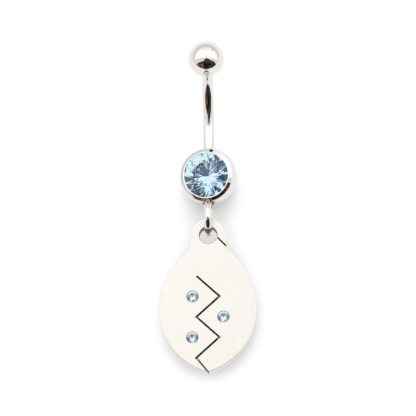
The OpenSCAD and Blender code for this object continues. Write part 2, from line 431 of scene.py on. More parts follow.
# Glowing navy and blue cards that only the stones show: painted reflections in their dark and blue
# facets.
NAVY_STONE_REFLECTION = DimRoom("navy_stone_reflection", stops=((0.35, (0.025, 0.035, 0.06)), (0.5, (0.07, 0.10, 0.16)),
                                          (0.65, (0.16, 0.21, 0.30))))
BLUE_STONE_REFLECTION = DimRoom("blue_stone_reflection", stops=((0.35, (0.34, 0.50, 0.80)), (0.65, (0.55, 0.72, 1.0))))
POLISHED = PolishedSteel("mirror_polished_steel")
# Solder with painted shade between its lumps and painted highlight on them.
SOLDERED = SolderedSteel("soldered_steel")
SATIN = SatinSteel("fine_satin_steel")
# The hanging hole's wall: satin steel painted dark brown as the shade inside the hole.
BORE_WALL_SHADE = SatinSteel("bore_wall_painted_shade", light=(0.34, 0.29, 0.25), dark=(0.24, 0.20, 0.17),
                  rough_low=0.35, rough_high=0.5)
# Walls of the cuts and stone seats, painted dark brown as the shade inside them.
CUT_WALL_SHADE = ShadedCutWall("cut_wall_painted_shade")
CRYSTAL = CrystalGlass("blue_crystal")
FOIL = StoneFoil("stone_foil")
SMALL_CRYSTAL = CrystalGlass("small_blue_crystal", tint=(0.94, 0.985, 0.985))
SMALL_FOIL = StoneFoil("small_stone_foil", tint=(0.91, 0.965, 0.965), blur=0.16)


class Placing:
    """A place and turn in the part's frame, that local points are set by."""

    def __init__(self, origin: Sequence[float], up: Sequence[float],
                 right: Sequence[float] = (1, 0, 0)) -> None:
        """Sets the local axes.

        Args:
            origin: Where the local origin lies.
            up: Where the local z axis points.
            right: Roughly where the local x axis points.
        """
        self.origin = Vector(origin)
        self.up = Vector(up).normalized()
        self.depth = self.up.cross(Vector(right)).normalized()
        self.right = self.depth.cross(self.up)

    def at(self, points: np.ndarray) -> np.ndarray:
        """Moves local points to the part's frame.

        Args:
            points: One row of x, y and z for each point.

        Returns:
            The moved rows.
        """
        turn = np.array([self.right, self.depth, self.up])
        return points @ turn + np.array(self.origin)


@dataclass
class MeshBuild:
    """Points and faces of one piece in the making."""

    name: str
    points: list[tuple[float, float, float]] = field(default_factory=list)
    faces: list[list[int]] = field(default_factory=list)
    finishes: list[int] = field(default_factory=list)

    def ring(self, points: Iterable[Sequence[float]]) -> list[int]:
        """Adds a run of points.

        Args:
            points: The points in order.

        Returns:
            Their numbers.
        """
        start = len(self.points)
        self.points.extend(tuple(float(c) for c in point) for point in points)
        return list(range(start, len(self.points)))

    def face(self, corners: Sequence[int], finish: int = 0) -> None:
        """Adds a face.

        Args:
            corners: The numbers of its points.
            finish: The place of its finish in the piece's list.
        """
        self.faces.append(list(corners))
        self.finishes.append(finish)

    def bridge(self, one: Sequence[int], other: Sequence[int], finish: int = 0) -> None:
        """Joins two closed rings of as many points with four-sided faces.

        Args:
            one: The first ring's numbers.
            other: The second ring's numbers.
            finish: The place of the faces' finish in the piece's list.
        """
        for i in range(len(one)):
            k = (i + 1) % len(one)
            self.face([one[i], one[k], other[k], other[i]], finish)

    def lathe(self, profile: Profile, steps: int,
              finish: Callable[[int], int] = lambda row: 0) -> None:
        """Turns a profile round the local z axis. It ends in a point where its radius is 0.

        Args:
            profile: Radius and height of each row, from low to high outside.
            steps: Number of points round each row.
            finish: Gives the finish of the band that starts at a row.
        """
        rows = []
        for radius, height in profile:
            if radius == 0:
                rows.append(self.ring([(0, 0, height)]) * steps)
            else:
                turns = [FULL_TURN * i / steps for i in range(steps)]
                rows.append(self.ring((radius * math.cos(t), radius * math.sin(t), height)
                                      for t in turns))
        for row in range(len(rows) - 1):
            low, high = rows[row], rows[row + 1]
            for i in range(steps):
                k = (i + 1) % steps
                corners = dict.fromkeys([low[i], low[k], high[k], high[i]])
                self.face(list(corners), finish(row))

    def make(self, placing: Placing | None = None, corner: Corner = Corner.ROUNDED,
             finishes: Sequence[Finish] = (POLISHED,)) -> bpy.types.Object:
        """Makes the object.

        Args:
            placing: Where the local points go, or None if they are in the part's frame already.
            corner: How its edges are shaded.
            finishes: The finishes that the faces' numbers stand for.

        Returns:
            The object, linked to the scene.
        """
        points = np.array(self.points, float)
        if placing is not None:
            points = placing.at(points)
        mesh = bpy.data.meshes.new(self.name)
        mesh.from_pydata(points.tolist(), [], self.faces)
        mesh.update()
        for finish in finishes:
            mesh.materials.append(finish.material())
        mesh.polygons.foreach_set("material_index", self.finishes)
        shade(mesh, corner)
        made = bpy.data.objects.new(self.name, mesh)
        bpy.context.scene.collection.objects.link(made)
        return made


def shade(mesh: bpy.types.Mesh, corner: Corner) -> None:
    """Shades a mesh's faces smooth, apart from its sharp edges.

    Args:
        mesh: The mesh.
        corner: How its edges are shaded.
    """
    mesh.polygons.foreach_set("use_smooth", [corner is Corner.ROUNDED] * len(mesh.polygons))
    if corner is Corner.ROUNDED:
        mesh.set_sharp_from_angle(angle=corner.value)


def fasten(piece: bpy.types.Object, body: Body, slot: Slot, *replaced: str) -> bpy.types.Object:
    """Ties a piece to its body and hides the solids that it stands for.

    Args:
        piece: The piece.
        body: The body that it rides on.
        slot: The material slot that it is finished from; not used.
        replaced: The names of the solids that it stands for.

    Returns:
        The same piece.
    """
    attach(piece, body.value)
    if replaced:
        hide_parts(*replaced)
    log.info("%s rides on %s, %d faces", piece.name, body.value, len(piece.data.polygons))
    return piece


def heading(degrees: float) -> Vector:
    """Gives the direction in the side plane that turns from +Y towards +Z."""
    turn = math.radians(degrees)
    return Vector((0, math.cos(turn), math.sin(turn)))


def arc(centre: tuple[float, float], radius: float, start: float, end: float,
        steps: int) -> Profile:
    """Gives points along an arc.

    Args:
        centre: The arc's centre.
        radius: Its radius.
        start: The first point's angle in degrees.
        end: The last point's angle in degrees.
        steps: Number of stretches.

    Returns:
        The points, both ends included.
    """
    turns = [math.radians(start + (end - start) * i / steps) for i in range(steps + 1)]
    return [(centre[0] + radius * math.cos(t), centre[1] + radius * math.sin(t)) for t in turns]


@dataclass
class CurvedBar:
    """The bent bar that goes through the piercing, with the threaded post at its upper end."""

    diameter: float = 1.6 * MM
    length: float = 11.1 * MM
    bend_radius: float = 10 * MM
    lean: float = 30.0
    sink: float = 1 * MM
    seat: float = 0.26 * MM
    post_diameter: float = 1.2 * MM
    post_length: float = 2.6 * MM
    thread_pitch: float = 0.25 * MM
    thread_depth: float = 0.07 * MM
    post_gap: float = 0.3 * MM
    tip_share: float = 0.72
    last_thread: float = 0.3
    rows_per_turn: int = 10
    steps_along: int = 160
    steps_round: int = 96

    def __post_init__(self) -> None:
        """Works out the bar's ends."""
        self.half_bend = math.degrees(math.asin(self.length / 2 / self.bend_radius))
        self.bend_centre = -self.bend_radius * heading(self.lean)
        self.low_end = self.on_bend(-self.half_bend)
        self.top_end = self.on_bend(self.half_bend)
        self.low_heading = heading(self.lean - self.half_bend - 90)
        self.top_heading = heading(self.lean + self.half_bend + 90)

    def on_bend(self, turn: float) -> Vector:
        """Gives the centreline's point at a turn in degrees from the bar's middle."""
        return self.bend_centre + self.bend_radius * heading(self.lean + turn)

    def bar(self) -> bpy.types.Object:
        """Sweeps the bar along its bend, with a small round on its upper end's edge.

        Returns:
            The bar's object.
        """
        build = MeshBuild("bent_bar")
        round_off = self.diameter / 16
        low = -self.half_bend - math.degrees(self.sink / self.bend_radius)
        top = self.half_bend + math.degrees(self.seat / self.bend_radius)
        rows = [(low + (top - low) * i / self.steps_along, self.diameter / 2)
                for i in range(self.steps_along)]
        for inset, rise in arc((0, 0), 1, 180, 90, 5):
            back = math.degrees(round_off * (1 - rise) / self.bend_radius)
            rows.append((top - back, self.diameter / 2 - round_off * (1 + inset)))
        rings = []
        for turn, radius in rows:
            out = heading(self.lean + turn)
            side = Vector((1, 0, 0))
            centre = self.on_bend(turn)
            angles = [FULL_TURN * i / self.steps_round for i in range(self.steps_round)]
            rings.append(build.ring(centre + radius * (math.cos(a) * side + math.sin(a) * out)
                                    for a in angles))
        for one, other in zip(rings, rings[1:]):
            build.bridge(one, other)
        build.face(rings[0][::-1])
        build.face(rings[-1])
        return build.make()

    def post(self) -> bpy.types.Object:
        """Winds the fine thread round the end post.

        Returns:
            The post's object.
        """
        build = MeshBuild("threaded_post")
        outer = self.post_diameter / 2
        start, end = -self.seat, self.seat + self.post_length
        rows = round((end - start) / self.thread_pitch * self.rows_per_turn)
        rings = []
        for row in range(rows + 1):
            height = start + (end - start) * row / rows
            fade = min(1.0, max(0.0, (height - self.post_gap) / self.thread_pitch))
            fade = min(fade, max(0.0, (end - height) / self.thread_pitch) + self.last_thread)
            ring = []
            for i in range(self.steps_round):
                share = i / self.steps_round
                wave = (height / self.thread_pitch - share) % 1
                radius = outer - self.thread_depth * fade * abs(2 * wave - 1)
                radius -= self.thread_depth * (1 - fade)
                turn = FULL_TURN * share
                ring.append((radius * math.cos(turn), radius * math.sin(turn), height))
            rings.append(build.ring(ring))
        for one, other in zip(rings, rings[1:]):
            build.bridge(one, other)
        tip = build.ring((self.tip_share * x, self.tip_share * y, end + self.thread_depth)
                         for x, y, _ in (build.points[i] for i in rings[-1]))
        build.bridge(rings[-1], tip)
        build.face(tip)
        build.face(rings[0][::-1])
        return build.make(Placing(self.top_end, self.top_heading))

    def assemble(self) -> None:
        """Builds and fastens the bar and its post."""
        fasten(self.bar(), Body.BARBELL, Slot.POLISHED, "curved_barbell")
        fasten(self.post(), Body.BARBELL, Slot.POLISHED, "curved_barbell")


@dataclass
class TopBall:
    """The smaller ball, which comes off the bar's upper end."""

    bar: CurvedBar
    diameter: float = 5 * MM
    seat: float = 0.3 * MM
    fit: float = 0.04 * MM
    edge: float = 0.05 * MM
    steps_round: int = 192
    steps_up: int = 128

    def assemble(self) -> None:
        """Turns the ball and its stepped bore, and fastens it."""
        ball_r = self.diameter / 2
        mouth_r = self.bar.diameter / 2 + self.fit
        bore_r = self.bar.post_diameter / 2 + self.fit
        bore_top = self.seat + self.bar.post_length + self.fit - ball_r
        low = -math.degrees(math.acos((mouth_r + self.edge) / ball_r))
        mouth_level = ball_r * math.sin(math.radians(low))
        profile: Profile = [(0, bore_top), (bore_r, bore_top)]
        profile += [(bore_r, self.seat - ball_r), (mouth_r, self.seat - ball_r)]
        profile += arc((mouth_r + self.edge, mouth_level + self.edge), self.edge, 180, 270, 4)
        profile += arc((0, 0), ball_r, low + 1, 90, self.steps_up)[:-1]
        profile.append((0, ball_r))
        build = MeshBuild("upper_ball")
        build.lathe(profile, self.steps_round)
        centre = self.bar.top_end + ball_r * self.bar.top_heading
        ball = build.make(Placing(centre, self.bar.top_heading))
        fasten(ball, Body.TOP_BALL, Slot.POLISHED, "top_ball")


@dataclass
class Brilliant:
    """A round brilliant cut, the upper edge of its girdle at height 0."""

    name: str
    diameter: float
    placing: Placing
    glass: Finish
    foil: Finish
    turn: float = 0.0
    table_share: float = 0.55
    crown_slope: float = 35.0
    pavilion_slope: float = 41.0
    girdle_share: float = 0.025
    star_share: float = 0.5
    lower_share: float = 0.77
    sectors: int = 8

    def polar(self, radius: float, sector: float, height: float) -> tuple[float, float, float]:
        """Gives the point at a radius, a number of sectors round and a height."""
        angle = math.radians(self.turn) + FULL_TURN * sector / self.sectors
        return radius * math.cos(angle), radius * math.sin(angle), height

    def meet_height(self, radius: float, slope: float) -> float:
        """Gives the height over the girdle where two mains of a slope meet at a radius."""
        reach = self.diameter / 2 - radius * math.cos(math.pi / self.sectors)
        return reach * math.tan(math.radians(slope))

    def edge_ring(self, build: MeshBuild, radius: float, slope: float, level: float,
                  way: int) -> list[int]:
        """Adds the scalloped edge between the girdle and the facets of one side.

        Args:
            build: The stone's mesh.
            radius: Where the mains meet beside the girdle facets.
            slope: The mains' slope in degrees.
            level: The girdle edge's height.
            way: 1 for the crown's side and -1 for the pavilion's.

        Returns:
            The numbers of four points for each sector.
        """
        girdle_r = self.diameter / 2
        chord = girdle_r * math.cos(math.pi / self.sectors / 2)
        run = chord - radius * math.cos(math.pi / self.sectors / 2)
        dip = (girdle_r - chord) * self.meet_height(radius, slope) / run
        return build.ring(self.polar(girdle_r, i / 4, level - way * dip * (i % 2))
                          for i in range(4 * self.sectors))

    def make(self) -> bpy.types.Object:
        """Cuts the stone.

        Returns:
            The stone's object, its glass in front and its foil behind.
        """
        build = MeshBuild(self.name)
        n = self.sectors
        girdle_r = self.diameter / 2
        girdle_h = self.girdle_share * self.diameter
        table_r = self.table_share * girdle_r
        table_edge = table_r * math.cos(math.pi / n)
        star_r = table_edge + self.star_share * (girdle_r - table_edge)
        lower_r = girdle_r * (1 - self.lower_share)
        crown_h = (girdle_r - table_r) * math.tan(math.radians(self.crown_slope))
        pavilion_h = girdle_r * math.tan(math.radians(self.pavilion_slope))
        star_h = self.meet_height(star_r, self.crown_slope)
        lower_h = self.meet_height(lower_r, self.pavilion_slope)
        table = build.ring(self.polar(table_r, k, crown_h) for k in range(n))
        stars = build.ring(self.polar(star_r, k + 0.5, star_h) for k in range(n))
        crown = self.edge_ring(build, star_r, self.crown_slope, 0, 1)
        base = self.edge_ring(build, lower_r, self.pavilion_slope, -girdle_h, -1)
        lower = build.ring(self.polar(lower_r, k + 0.5, -girdle_h - lower_h) for k in range(n))
        point = build.ring([(0, 0, -girdle_h - pavilion_h)])[0]
        build.face(table)
        for k in range(n):
            following = (k + 1) % n
            c = [crown[(4 * k + j) % (4 * n)] for j in range(5)]
            b = [base[(4 * k + j) % (4 * n)] for j in range(5)]
            build.face([table[k], stars[k], table[following]])
            build.face([table[following], stars[k], c[4], stars[following]])
            build.face([stars[k], c[0], c[1], c[2]])
            build.face([stars[k], c[2], c[3], c[4]])
            build.face([lower[k], b[2], b[1], b[0]], 1)
            build.face([lower[k], b[4], b[3], b[2]], 1)
            build.face([point, lower[following], b[4], lower[k]], 1)
        build.bridge(base, crown, 1)
        return build.make(self.placing, Corner.FACETED, (self.glass, self.foil))


@dataclass
class StoneBall:
    """The larger ball, its lip pressed over the large stone."""

    bar: CurvedBar
    diameter: float = 8 * MM
    stone_diameter: float = 6.4 * MM
    stone_pitch: float = 13.0
    stone_turn: float = 8.5
    lap: float = 0.1 * MM
    rim_w: float = 0.15 * MM
    rim_t: float = 0.1 * MM
    lip_w: float = 0.42 * MM
    lip_slope: float = 35.0
    rim_edge: float = 0.05 * MM
    fit: float = 0.03 * MM
    seat_side: float = 0.2 * MM
    seat_depth: float = 3.1 * MM
    crown_slope: float = 35.0
    table_share: float = 0.55
    sectors: int = 8
    steps_round: int = 256
    steps_up: int = 160

    def __post_init__(self) -> None:
        """Works out the ball's centre, the stone's axis and the levels along it."""
        self.centre = self.bar.low_end + self.diameter / 2 * self.bar.low_heading
        pitch, turn = math.radians(self.stone_pitch), math.radians(self.stone_turn)
        out = Vector((0, -math.cos(pitch), -math.sin(pitch)))
        self.axis = Matrix.Rotation(-turn, 3, "Z") @ out
        self.mouth_r = self.stone_diameter / 2 - self.lap
        self.rim_r = self.mouth_r + self.rim_w
        self.lip_r = self.rim_r + self.lip_w
        self.lip_turn = math.degrees(math.acos(self.lip_r / (self.diameter / 2)))
        lip_level = self.diameter / 2 * math.sin(math.radians(self.lip_turn))
        self.rim_level = lip_level + self.lip_w * math.tan(math.radians(self.lip_slope))
        self.stone_level = self.rim_level - self.rim_t - self.fit - self.lap * self.ridge_slope()

    def ridge_slope(self) -> float:
        """Gives the slope of the crown's ridges from the girdle to the star facets' points."""
        girdle_r = self.stone_diameter / 2
        half_sector = math.cos(math.pi / self.sectors)
        star_r = (girdle_r + self.table_share * girdle_r * half_sector) / 2
        rise = (girdle_r - star_r * half_sector) * math.tan(math.radians(self.crown_slope))
        return rise / (girdle_r - star_r)

    def cup_profile(self) -> Profile:
        """Gives the ball's outline from its back over the lip and into the stone's seat."""
        ball_r = self.diameter / 2
        seat_r = self.stone_diameter / 2 + self.fit
        profile: Profile = [(0, -ball_r)]
        profile += arc((0, 0), ball_r, -90, self.lip_turn, self.steps_up)[1:]
        edge = self.rim_edge
        outer = (self.rim_r - edge * math.tan(math.radians(self.lip_slope / 2)),
                 self.rim_level - edge)
        profile += arc(outer, edge, 90 - self.lip_slope, 90, 6)
        inner = (self.mouth_r + edge, self.rim_level - edge)
        profile += arc(inner, edge, 90, 180, 6)
        under = self.rim_level - self.rim_t
        profile += [(self.mouth_r, under), (seat_r, under - self.lap / 2)]
        profile += [(seat_r, self.stone_level - self.seat_side),
                    (0, self.stone_level - self.seat_depth)]
        return profile

    def assemble(self) -> None:
        """Builds and fastens the ball and its stone."""
        build = MeshBuild("stone_set_ball")
        build.lathe(self.cup_profile(), self.steps_round)
        ball = build.make(Placing(self.centre, self.axis))
        fasten(ball, Body.BARBELL, Slot.POLISHED, "curved_barbell")
        seat = Placing(self.centre + self.stone_level * self.axis, self.axis)
        stone = Brilliant("large_stone", self.stone_diameter, seat, CRYSTAL, FOIL,
                          turn=180 / self.sectors, table_share=self.table_share,
                          crown_slope=self.crown_slope, sectors=self.sectors)
        fasten(stone.make(), Body.BARBELL, Slot.STONE, "ball_stone")


@dataclass
class HangingRing:
    """The closed ring under the ball, with the solder that holds it."""

    ball: StoneBall
    outer: float = 5.3 * MM
    wire: float = 1 * MM
    solder_w: float = 0.35 * MM
    solder_t: float = 0.12 * MM
    solder_run: float = 1.1 * MM
    steps_solder: int = 96
    steps_round: int = 256
    steps_wire: int = 64

    def __post_init__(self) -> None:
        """Works out where the ring hangs."""
        self.top = self.ball.centre - Vector((0, 0, self.ball.diameter / 2))
        self.middle_r = (self.outer - self.wire) / 2
        self.centre = self.top - Vector((0, 0, self.middle_r))

    def ring(self) -> bpy.types.Object:
        """Bends the wire into a ring in the side plane.

        Returns:
            The ring's object.
        """
        build = MeshBuild("hanging_ring")
        rings = []
        for row in range(self.steps_round):
            out = heading(360 * row / self.steps_round)
            middle = self.centre + self.middle_r * out
            turns = [FULL_TURN * i / self.steps_wire for i in range(self.steps_wire)]
            rings.append(build.ring(
                middle + self.wire / 2 * (math.cos(t) * out + math.sin(t) * Vector((1, 0, 0)))
                for t in turns))
        for row, ring in enumerate(rings):
            off_top = abs(math.radians(360 * row / self.steps_round - 90)) * self.middle_r
            build.bridge(rings[(row + 1) % len(rings)], ring, int(off_top < self.solder_run))
        return build.make(finishes=(POLISHED, SOLDERED))

    def solder(self) -> bpy.types.Object:
        """Runs the solder's fillet from the ball down onto the wire.

        Returns:
            The solder's object.
        """
        build = MeshBuild("solder_bead")
        wire_r = self.wire / 2
        flare = wire_r + self.solder_w
        bead = wire_r + self.solder_t
        profile: Profile = [(0, -bead)]
        profile += arc((0, 0), bead, -90, -40, 12)[1:]
        profile += arc((flare, -self.solder_w), self.solder_w, 180, 90, 16)
        profile += [(flare, wire_r), (0, wire_r)]
        build.lathe(profile, self.steps_solder)
        lumps = np.array(build.points)
        wobble = (1 + 0.05 * np.sin(lumps[:, 0] * 9000 + 1) * np.cos(lumps[:, 1] * 7000)
                  + 0.04 * np.sin(lumps[:, 2] * 12000 + lumps[:, 0] * 5000))
        below = lumps[:, 2] < 0
        lumps[below, :2] *= wobble[below, None]
        build.points = [tuple(p) for p in lumps]
        return build.make(Placing(self.top, (0, 0, 1)), finishes=(SOLDERED,))

    def assemble(self) -> None:
        """Builds and fastens the ring and its solder."""
        fasten(self.ring(), Body.BARBELL, Slot.POLISHED, "curved_barbell")
        fasten(self.solder(), Body.BARBELL, Slot.POLISHED, "curved_barbell")


@dataclass
class LeafPlate:
    """The leaf-shaped plate that swings from the ring, with its cuts and small stones."""

    ring: HangingRing
    thickness: float = 1.2 * MM
    bevel: float = 0.06 * MM
    hole: float = 2.5 * MM
    tab: float = 4.96 * MM
    width: float = 13.5 * MM
    widest: float = 11 * MM
    upper_r: float = 11.8 * MM
    lower_r: float = 9.5 * MM
    slit: float = 0.24 * MM
    slit_turn: float = 4.0
    slit_rise: float = 0.3 * MM
    cut: float = 0.3 * MM
    cut_start: float = 6.05 * MM
    cut_reach: float = 1.6 * MM
    cut_drop: float = 3 * MM
    cut_bends: int = 4
    small_diameter: float = 1.65 * MM
    small_reach: float = 2.15 * MM
    small_sink: float = 0.08 * MM
    small_side: float = 0.05 * MM
    fit: float = 0.03 * MM
    hang_fit: float = 0.05 * MM
    steps_arc: int = 64
    steps_hole: int = 128
    steps_seat: int = 64
    past: float = 0.5 * MM

    def __post_init__(self) -> None:
        """Works out where the plate hangs."""
        bore_r = self.ring.middle_r - self.ring.wire / 2
        drop = math.sqrt(bore_r ** 2 - (self.thickness / 2) ** 2)
        level = self.ring.centre.z - drop + self.hang_fit - self.hole / 2
        self.placing = Placing((0, self.ring.centre.y, level), (0, -1, 0))
        self.tip = -self.widest - math.sqrt(
            self.lower_r ** 2 - (self.lower_r - self.width / 2) ** 2)

    def outline(self, inset: float) -> Profile:
        """Gives the plate's outline, without its cuts.

        Args:
            inset: How far inside the full outline it runs.

        Returns:
            Points from the tab's right side over its top, down the left and up the right.
        """
        tab_r = self.tab / 2 - inset
        upper_at = self.width / 2 - self.upper_r
        lower_at = self.width / 2 - self.lower_r
        upper_r, lower_r = self.upper_r - inset, self.lower_r - inset
        shoulder = math.degrees(math.acos((tab_r - upper_at) / upper_r))
        tip = math.degrees(math.acos(-lower_at / lower_r))
        half = arc((upper_at, -self.widest), upper_r, shoulder, 0, self.steps_arc)
        half += arc((lower_at, -self.widest), lower_r, 0, -tip, self.steps_arc)[1:]
        left = [(-x, y) for x, y in half]
        return arc((0, 0), tab_r, 0, 180, self.steps_arc) + left + half[-2::-1]

    def blank(self) -> bpy.types.Object:
        """Builds the plate before it is cut, with rounded edges.

        Returns:
            The blank's object.
        """
        build = MeshBuild("leaf_plate")
        half = self.thickness / 2
        rows = [(self.bevel * (1 + x), half - self.bevel * (1 - y))
                for x, y in arc((0, 0), 1, 90, 180, 4)]
        rings = []
        for inset, level in rows + [(inset, -level) for inset, level in reversed(rows)]:
            rings.append(build.ring((x, y, level) for x, y in self.outline(inset)))
        build.face(rings[0])
        for one, other in zip(rings, rings[1:]):
            build.bridge(other, one)
        build.face(rings[-1][::-1])
        return build.make(self.placing, Corner.FACETED, (SATIN,))

    def cutter(self, build: MeshBuild, wall: Finish, at: Sequence[float] = (0, 0)) -> bpy.types.Object:
        """Makes a cutting tool from a build.

        Args:
            build: Its mesh, round the plate's own z axis.
            wall: The finish of the walls that it cuts.
            at: Where on the plate it stands.

        Returns:
            The tool's object.
        """
        build.points = [(x + at[0], y + at[1], z) for x, y, z in build.points]
        return build.make(self.placing, Corner.FACETED, (wall,))

    def hole_tool(self) -> bpy.types.Object:
        """Makes the tool for the hanging hole, flared at both faces."""
        half, hole_r, out = self.thickness / 2, self.hole / 2, self.bevel + self.past
        build = MeshBuild("hole_tool")
        build.lathe([(0, -half - self.past), (hole_r + out, -half - self.past),
                     (hole_r, self.bevel - half), (hole_r, half - self.bevel),
                     (hole_r + out, half + self.past), (0, half + self.past)], self.steps_hole)
        return self.cutter(build, BORE_WALL_SHADE)

    def seat_tool(self, at: Sequence[float]) -> bpy.types.Object:
        """Makes the tool for a small stone's seat."""
        seat_r = self.small_diameter / 2 + self.fit
        face = self.thickness / 2
        build = MeshBuild("seat_tool")
        foot = face - self.small_sink
        build.lathe([(0, foot - seat_r), (seat_r, foot - self.small_side),
                     (seat_r, face + self.past), (0, face + self.past)], self.steps_seat)
        return self.cutter(build, CUT_WALL_SHADE, at)

    def strip_tool(self, path: Sequence[Vector], width: float) -> bpy.types.Object:
        """Makes the tool for a thin cut along a bent line.

        Args:
            path: The line's points on the plate.
            width: The cut's width.

        Returns:
            The tool's object.
        """
        one, other = [], []
        for i, point in enumerate(path):
            into = (point - path[i - 1] if i else path[1] - point).normalized()
            out = (path[i + 1] - point if i < len(path) - 1 else point - path[i - 1]).normalized()
            side = (into.orthogonal() + out.orthogonal()).normalized()
            reach = width / 2 / side.dot(into.orthogonal())
            one.append(point + side * reach)
            other.append(point - side * reach)
        loop = other + one[::-1]
        build = MeshBuild("strip_tool")
        deep = self.thickness
        low = build.ring((p.x, p.y, -deep) for p in loop)
        high = build.ring((p.x, p.y, deep) for p in loop)
        build.bridge(low, high)
        build.face(low[::-1])
        build.face(high)
        return self.cutter(build, CUT_WALL_SHADE)

    def bends(self) -> list[Vector]:
        """Gives the zigzag's points from its start to its last bend."""
        return [Vector(((1 if i % 2 else -1) * self.cut_reach, -self.cut_start - i * self.cut_drop))
                for i in range(self.cut_bends + 1)]

    def tools(self) -> list[bpy.types.Object]:
        """Makes all the cutting tools.

        Returns:
            Their objects.
        """
        hole_r, tab_r = self.hole / 2, self.tab / 2
        upper_at = self.width / 2 - self.upper_r
        shoulder = Vector((tab_r, math.sqrt(self.upper_r ** 2 - (tab_r - upper_at) ** 2)
                           - self.widest))
        turn = math.radians(-self.slit_turn)
        inner = (hole_r - self.slit) * Vector((math.cos(turn), math.sin(turn)))
        mouth = shoulder + Vector((0, self.slit_rise))
        slit = [inner, mouth + self.slit * (mouth - inner).normalized()]
        bends = self.bends()
        tip = Vector((0, self.tip))
        zigzag = bends + [tip + self.past * (tip - bends[-1]).normalized()]
        return [self.hole_tool(), self.strip_tool(slit, self.slit),
                self.strip_tool(zigzag, self.cut)] + [
                    self.seat_tool(place) for place in self.small_places()]

    def small_places(self) -> list[Vector]:
        """Gives the small stones' places on the plate, from the top down."""
        return [Vector((-math.copysign(self.small_reach, bend.x), bend.y))
                for bend in self.bends()[1:-1]]

    def assemble(self) -> None:
        """Cuts the plate, sets its stones and fastens them."""
        plate = self.blank()
        for tool in self.tools():
            cut_away(plate, tool)
        shade(plate.data, Corner.ROUNDED)
        even = plate.modifiers.new("even_faces", "WEIGHTED_NORMAL")
        even.keep_sharp = True
        fasten(plate, Body.PENDANT, Slot.SATIN, "leaf_pendant")
        for number, place in enumerate(self.small_places(), 1):
            seat = self.placing.at(np.array([[place.x, place.y,
                                              self.thickness / 2 - self.small_sink]]))[0]
            stone = Brilliant(f"small_stone_{number}", self.small_diameter,
                              Placing(seat, self.placing.up), SMALL_CRYSTAL, SMALL_FOIL,
                              turn=11 * number)
            fasten(stone.make(), Body.PENDANT, Slot.STONE, f"leaf_stone_{number}")


def cut_away(piece: bpy.types.Object, tool: bpy.types.Object) -> None:
    """Cuts a tool's shape out of a piece, and removes the tool.

    Args:
        piece: The piece that is cut.
        tool: The cutting tool, whose finish the cut's walls take.
    """
    cut = piece.modifiers.new("cut", "BOOLEAN")
    cut.operation = "DIFFERENCE"
    cut.solver = "EXACT"
    cut.material_mode = "TRANSFER"
    cut.object = tool
    depsgraph = bpy.context.evaluated_depsgraph_get()
    mesh = bpy.data.meshes.new_from_object(piece.evaluated_get(depsgraph))
    piece.modifiers.clear()
    piece.data = mesh
    bpy.data.objects.remove(tool)


